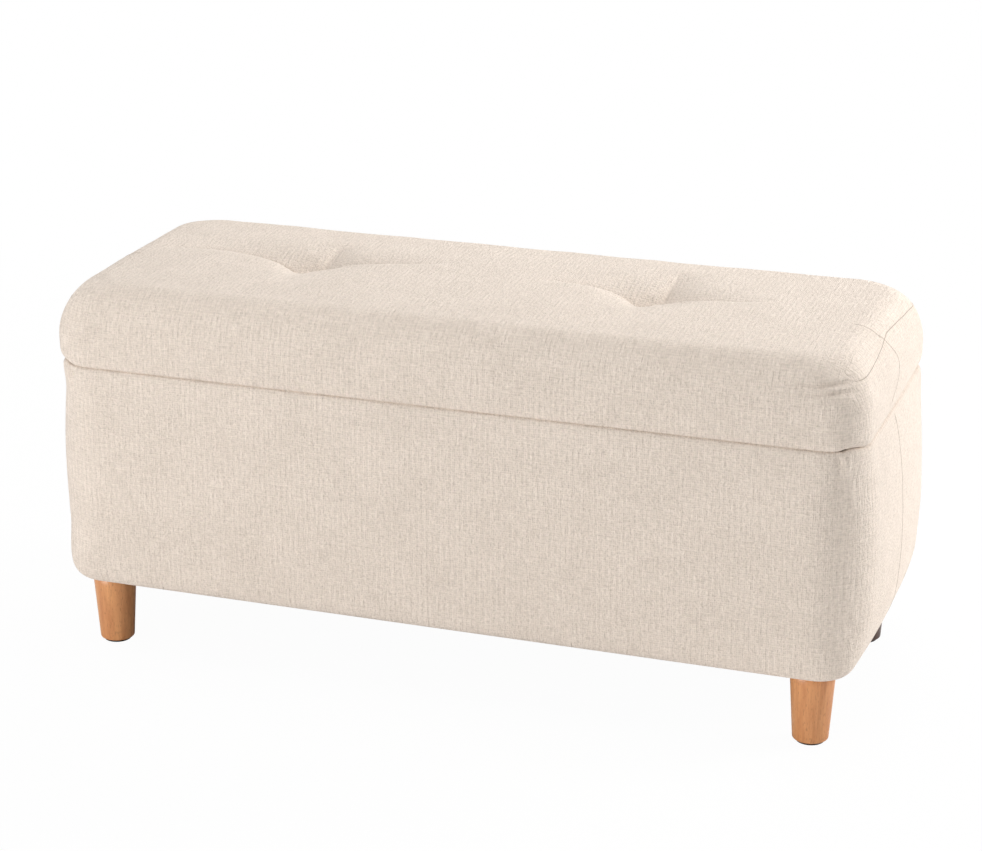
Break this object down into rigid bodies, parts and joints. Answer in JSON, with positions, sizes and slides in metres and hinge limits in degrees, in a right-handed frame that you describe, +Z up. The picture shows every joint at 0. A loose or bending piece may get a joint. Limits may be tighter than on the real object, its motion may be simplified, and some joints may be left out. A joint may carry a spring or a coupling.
{
  "type": "upholstered storage bench",
  "caption": "Rectangular storage bench covered in cream woven fabric, with a tufted hinged lid that lifts on folding stays and short round tapered wooden legs.",
  "frame": {"origin": "on the floor, under the middle of the bench's bounding box", "axes": "+X to the right along the long side, the front faces -Y, +Z up"},
  "size_m": [1.092, 0.426, 0.513],
  "materials": {
    "plywood": "sanded birch-faced plywood and softwood, unfinished",
    "beech": "clear satin lacquer over pale beech",
    "dark_wood": "dark brown stain, satin",
    "linen": "cream slub weave with visible thick and thin threads",
    "lining": "plain light grey-beige lining cloth",
    "dust_cloth": "black non-woven cloth",
    "foam": "open-cell polyurethane foam",
    "felt": "pressed felt",
    "zinc": "bright zinc plate",
    "twine": "waxed tufting twine",
    "black_plastic": "moulded black plastic"
  },
  "bodies": {
    "base": {"front_panel": "plywood", "back_panel": "plywood", "left_end_panel": "plywood", "right_end_panel": "plywood", "floor_panel": "plywood", "floor_cleats": "plywood", "corner_blocks": "plywood", "panel_screws": "zinc", "floor_screws": "zinc", "t_nuts": "zinc", "hanger_bolts": "zinc", "front_left_leg": "beech", "front_right_leg": "beech", "rear_left_leg": "dark_wood", "rear_right_leg": "dark_wood", "leg_glides": "black_plastic", "front_foam": "foam", "back_foam": "foam", "left_foam": "foam", "right_foam": "foam", "base_cover": "linen", "base_lining": "lining", "dust_cover": "dust_cloth", "base_staples": "zinc", "rim_bumpers": "felt", "hinge_base_leaves": "zinc", "hinge_pins": "zinc", "hinge_base_screws": "zinc", "left_stay_base_bracket": "zinc", "right_stay_base_bracket": "zinc", "stay_base_rivets": "zinc", "stay_base_screws": "zinc"},
    "lid": {"lid_board": "plywood", "lid_foam": "foam", "lid_cover": "linen", "lid_lining": "lining", "tuft_toggles": "black_plastic", "tuft_twines": "twine", "tuft_washers": "zinc", "lid_staples": "zinc", "hinge_lid_leaves": "zinc", "hinge_lid_screws": "zinc", "left_stay_lid_bracket": "zinc", "right_stay_lid_bracket": "zinc", "stay_lid_rivets": "zinc", "stay_lid_screws": "zinc"},
    "left_lower_arm": {"left_stay_lower_arm": "zinc", "left_knee_rivet": "zinc"},
    "right_lower_arm": {"right_stay_lower_arm": "zinc", "right_knee_rivet": "zinc"},
    "left_upper_arm": {"left_stay_upper_arm": "zinc"},
    "right_upper_arm": {"right_stay_upper_arm": "zinc"}
  },
  "joints": [
    {"name": "lid_hinge", "type": "hinge", "parent": "base", "child": "lid", "pos_m": [0, 0.209, 0.3999], "axis": [-1, 0, 0], "range_deg": [0, 95]},
    {"name": "left_stay_lower", "type": "hinge", "parent": "base", "child": "left_lower_arm", "pos_m": [-0.4877, 0.164, 0.3099], "axis": [-1, 0, 0], "range_deg": [0, 95]},
    {"name": "left_stay_upper", "type": "hinge", "parent": "lid", "child": "left_upper_arm", "pos_m": [-0.4852, 0.099, 0.3859], "axis": [-1, 0, 0], "range_deg": [-95, 0]},
    {"name": "right_stay_lower", "type": "hinge", "parent": "base", "child": "right_lower_arm", "pos_m": [0.4877, 0.164, 0.3099], "axis": [-1, 0, 0], "range_deg": [0, 95]},
    {"name": "right_stay_upper", "type": "hinge", "parent": "lid", "child": "right_upper_arm", "pos_m": [0.4852, 0.099, 0.3859], "axis": [-1, 0, 0], "range_deg": [-95, 0]}
  ],
  "couplings": [
    {"joint": "left_stay_lower", "follows": "lid_hinge", "ratio": 1},
    {"joint": "left_stay_upper", "follows": "lid_hinge", "ratio": -1},
    {"joint": "right_stay_lower", "follows": "lid_hinge", "ratio": 1},
    {"joint": "right_stay_upper", "follows": "lid_hinge", "ratio": -1}
  ]
}
